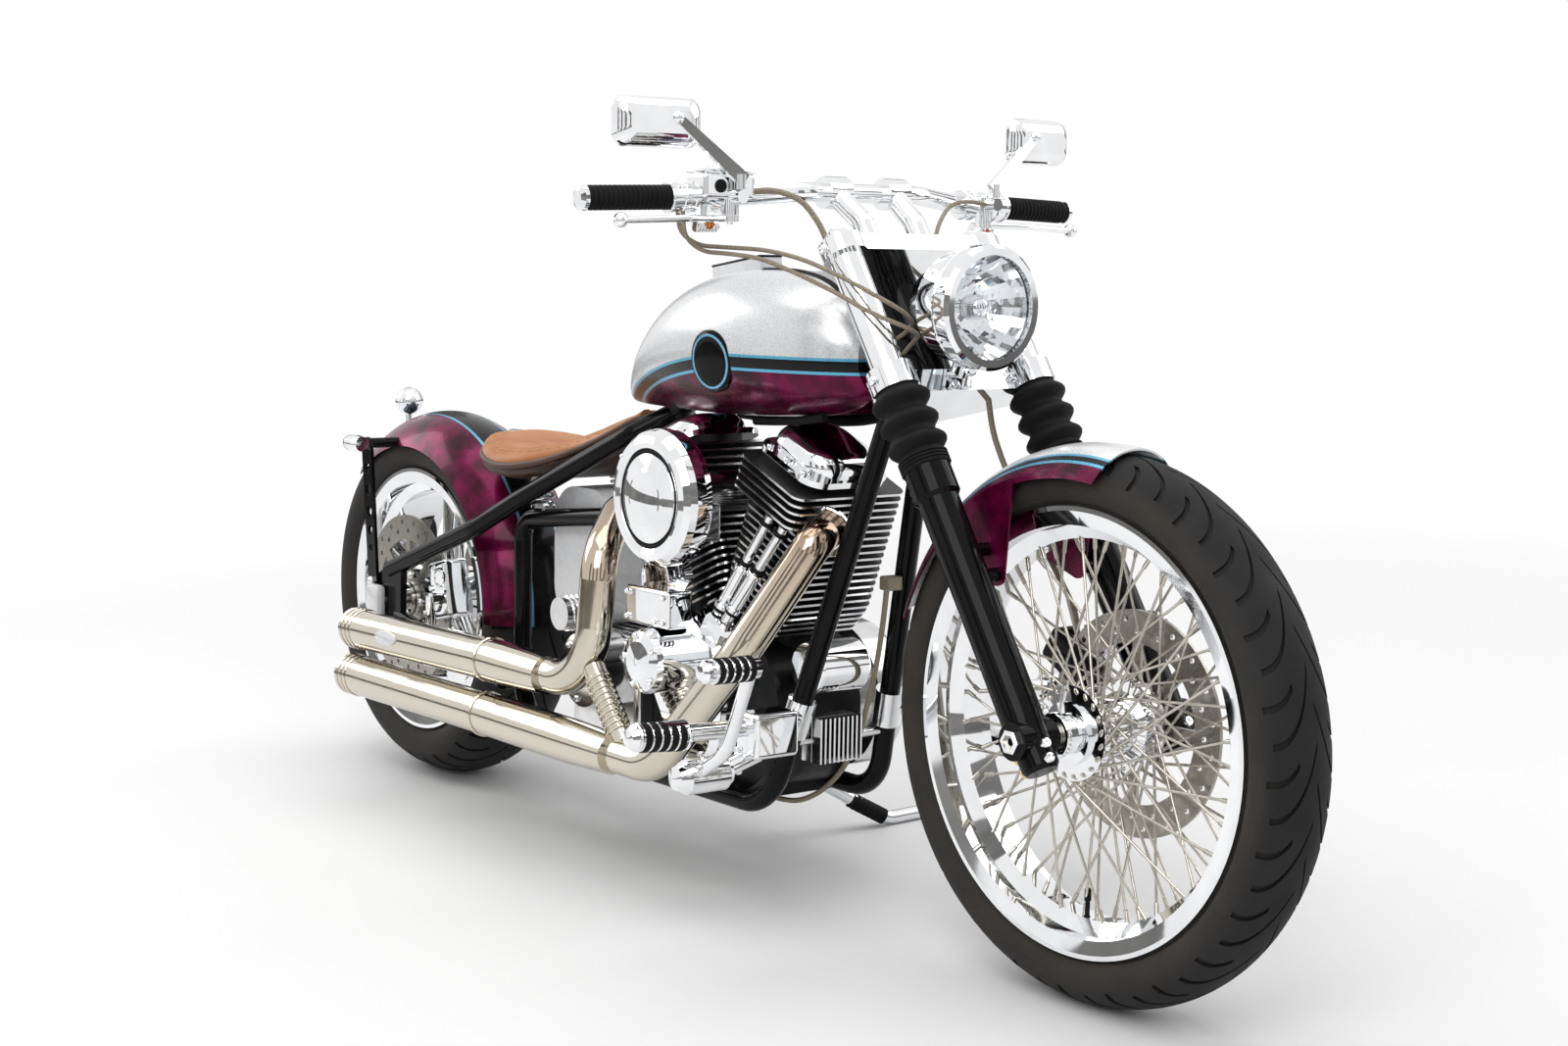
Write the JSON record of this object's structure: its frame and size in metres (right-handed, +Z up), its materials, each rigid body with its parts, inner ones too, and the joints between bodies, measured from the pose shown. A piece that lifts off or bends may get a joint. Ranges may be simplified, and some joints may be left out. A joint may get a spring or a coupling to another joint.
{
  "type": "bobber motorcycle",
  "caption": "Low bobber motorcycle with raked fork, wire front wheel, V-twin engine, solo saddle and twin side mufflers, leaning on its side stand.",
  "frame": {"origin": "on the floor, below the middle of the parked motorcycle's bounding box", "axes": "+X forward, +Y to the rider's left, +Z up; the motorcycle leans 4 degrees to its left on its side stand"},
  "size_m": [2.3079, 0.9006, 1.1613],
  "materials": {
    "tyre": "matt black rubber, dusty walls",
    "chrome": "polished chrome",
    "disc_steel": "ground steel",
    "exhaust_steel": "polished stainless with a straw tint",
    "black_paint": "gloss black",
    "burgundy_paint": "gloss candy burgundy",
    "silver_paint": "silver pearl",
    "braided_steel": "braided sleeve",
    "engine_alloy": "cast and polished alloy",
    "black_rubber": "satin black",
    "clear_glass": "clear",
    "tan_leather": "burnished tan hide"
  },
  "bodies": {
    "chassis": {"drive_belt": "black_rubber", "frame_spine": "black_paint", "frame_cradle": "black_paint", "swingarm": "black_paint", "rear_axle": "disc_steel", "rear_caliper": "chrome", "rear_fender": "burgundy_paint", "fender_struts": "black_paint", "rear_lamps": "chrome", "crankcase": "black_paint", "cylinders": "black_paint", "valve_gear": "chrome", "cam_cover": "chrome", "carburettor": "engine_alloy", "air_cleaner": "chrome", "primary_cover": "engine_alloy", "transmission": "engine_alloy", "oil_tank": "silver_paint", "oil_filter": "chrome", "regulator": "engine_alloy", "exhaust": "exhaust_steel", "oil_line": "braided_steel", "fuel_tank": "burgundy_paint", "tank_fittings": "chrome", "seat": "tan_leather", "seat_springs": "chrome", "right_foot_controls": "chrome", "left_foot_controls": "chrome"},
    "steering": {"lower_tree": "chrome", "upper_tree": "chrome", "fork_tubes": "chrome", "fork_gaiters": "black_rubber", "fork_lowers": "black_paint", "front_axle": "disc_steel", "front_fender": "burgundy_paint", "front_caliper": "black_paint", "headlight": "chrome", "headlight_lens": "clear_glass", "handlebar": "chrome", "grips": "black_rubber", "hand_controls": "chrome", "hand_levers": "chrome", "mirrors": "chrome", "brake_hose": "braided_steel", "control_cables": "black_rubber"},
    "front_wheel": {"front_tyre": "tyre", "front_rim": "chrome", "front_hub": "chrome", "front_spokes": "chrome", "front_disc": "disc_steel"},
    "rear_wheel": {"rear_tyre": "tyre", "rear_rim": "chrome", "rear_disc": "disc_steel", "rear_pulley": "disc_steel"},
    "side_stand": {"side_stand": "chrome"}
  },
  "joints": [
    {"name": "steering", "type": "hinge", "parent": "chassis", "child": "steering", "pos_m": [0.48932, -0.00426, 0.7284], "axis": [-0.5446, 0.0585, 0.8366], "range_deg": [-28, 28]},
    {"name": "front_wheel_spin", "type": "hinge", "parent": "steering", "child": "front_wheel", "pos_m": [0.804, -0.03076, 0.34942], "axis": [0, 0.9976, -0.0698], "continuous": true},
    {"name": "rear_wheel_spin", "type": "hinge", "parent": "chassis", "child": "rear_wheel", "pos_m": [-0.838, -0.03313, 0.31551], "axis": [0, 0.9976, -0.0698], "continuous": true},
    {"name": "side_stand_hinge", "type": "hinge", "parent": "chassis", "child": "side_stand", "pos_m": [-0.058, 0.09012, 0.12845], "axis": [0.0325, 0.546, 0.8372], "range_deg": [0, 80]}
  ]
}
